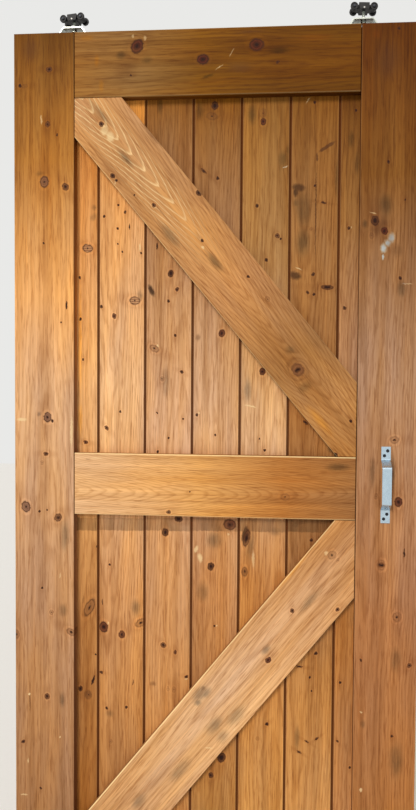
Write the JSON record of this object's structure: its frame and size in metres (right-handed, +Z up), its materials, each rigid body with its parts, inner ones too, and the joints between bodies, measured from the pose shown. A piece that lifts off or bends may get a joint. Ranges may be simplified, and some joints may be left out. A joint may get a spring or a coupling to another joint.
{
  "type": "sliding barn door leaf",
  "caption": "Top-hung sliding door leaf: framed and diagonally braced face on vertical matchboards, strap pull handle, and wheeled hangers on top.",
  "frame": {"origin": "middle of the leaf's bottom edge, half way through its thickness", "axes": "+Z up the door, +X to the right as seen from the braced front, which faces -Y"},
  "size_m": [0.95, 0.0645, 2.151],
  "materials": {
    "stained_pine_frame": "planed, sanded and stained, satin",
    "stained_pine_boards": "planed and stained, satin",
    "galvanised_strap": "bright galvanised",
    "zinc_plated_strap": "zinc plated",
    "zinc_plated_bolts": "zinc plated",
    "blackened_screws": "black",
    "black_moulding": "moulded, matt",
    "black_nylon": "moulded, satin",
    "steel_pins": "plain steel"
  },
  "bodies": {
    "door": {"left_stile": "stained_pine_frame", "right_stile": "stained_pine_frame", "top_rail": "stained_pine_frame", "middle_rail": "stained_pine_frame", "bottom_rail": "stained_pine_frame", "upper_brace": "stained_pine_frame", "lower_brace": "stained_pine_frame", "board_1": "stained_pine_boards", "board_2": "stained_pine_boards", "board_3": "stained_pine_boards", "board_4": "stained_pine_boards", "board_5": "stained_pine_boards", "board_6": "stained_pine_boards", "board_7": "stained_pine_boards", "pull_handle": "galvanised_strap", "handle_screws": "blackened_screws", "left_bracket": "zinc_plated_strap", "left_bracket_screws": "blackened_screws", "left_bolt": "zinc_plated_bolts", "left_lower_nut": "zinc_plated_bolts", "left_lock_nut": "zinc_plated_bolts", "right_bracket": "zinc_plated_strap", "right_bracket_screws": "blackened_screws", "right_bolt": "zinc_plated_bolts", "right_lower_nut": "zinc_plated_bolts", "right_lock_nut": "zinc_plated_bolts"},
    "left_trolley": {"left_trolley_body": "black_moulding", "left_trolley_pins": "steel_pins", "left_axle_a": "steel_pins", "left_axle_b": "steel_pins"},
    "left_wheel_a_front": {"left_wheel_a_front": "black_nylon"},
    "left_wheel_a_rear": {"left_wheel_a_rear": "black_nylon"},
    "left_wheel_b_front": {"left_wheel_b_front": "black_nylon"},
    "left_wheel_b_rear": {"left_wheel_b_rear": "black_nylon"},
    "right_trolley": {"right_trolley_body": "black_moulding", "right_trolley_pins": "steel_pins", "right_axle_a": "steel_pins", "right_axle_b": "steel_pins"},
    "right_wheel_a_front": {"right_wheel_a_front": "black_nylon"},
    "right_wheel_a_rear": {"right_wheel_a_rear": "black_nylon"},
    "right_wheel_b_front": {"right_wheel_b_front": "black_nylon"},
    "right_wheel_b_rear": {"right_wheel_b_rear": "black_nylon"}
  },
  "joints": [
    {"name": "left_trolley_swivel", "type": "hinge", "parent": "door", "child": "left_trolley", "pos_m": [-0.3375, 0, 2.138], "axis": [0, 0, 1], "continuous": true},
    {"name": "left_wheel_a_front_spin", "type": "hinge", "parent": "left_trolley", "child": "left_wheel_a_front", "pos_m": [-0.36108, -0.00664, 2.138], "axis": [0.1564, 0.9877, 0], "continuous": true},
    {"name": "left_wheel_a_rear_spin", "type": "hinge", "parent": "left_trolley", "child": "left_wheel_a_rear", "pos_m": [-0.35787, 0.0136, 2.138], "axis": [0.1564, 0.9877, 0], "continuous": true},
    {"name": "left_wheel_b_front_spin", "type": "hinge", "parent": "left_trolley", "child": "left_wheel_b_front", "pos_m": [-0.31713, -0.0136, 2.138], "axis": [0.1564, 0.9877, 0], "continuous": true},
    {"name": "left_wheel_b_rear_spin", "type": "hinge", "parent": "left_trolley", "child": "left_wheel_b_rear", "pos_m": [-0.31392, 0.00664, 2.138], "axis": [0.1564, 0.9877, 0], "continuous": true},
    {"name": "right_trolley_swivel", "type": "hinge", "parent": "door", "child": "right_trolley", "pos_m": [0.3355, 0, 2.1425], "axis": [0, 0, 1], "continuous": true},
    {"name": "right_wheel_a_front_spin", "type": "hinge", "parent": "right_trolley", "child": "right_wheel_a_front", "pos_m": [0.31402, -0.01178, 2.1425], "axis": [-0.0698, 0.9976, 0], "continuous": true},
    {"name": "right_wheel_a_rear_spin", "type": "hinge", "parent": "right_trolley", "child": "right_wheel_a_rear", "pos_m": [0.31259, 0.00867, 2.1425], "axis": [-0.0698, 0.9976, 0], "continuous": true},
    {"name": "right_wheel_b_front_spin", "type": "hinge", "parent": "right_trolley", "child": "right_wheel_b_front", "pos_m": [0.35841, -0.00867, 2.1425], "axis": [-0.0698, 0.9976, 0], "continuous": true},
    {"name": "right_wheel_b_rear_spin", "type": "hinge", "parent": "right_trolley", "child": "right_wheel_b_rear", "pos_m": [0.35698, 0.01178, 2.1425], "axis": [-0.0698, 0.9976, 0], "continuous": true}
  ]
}
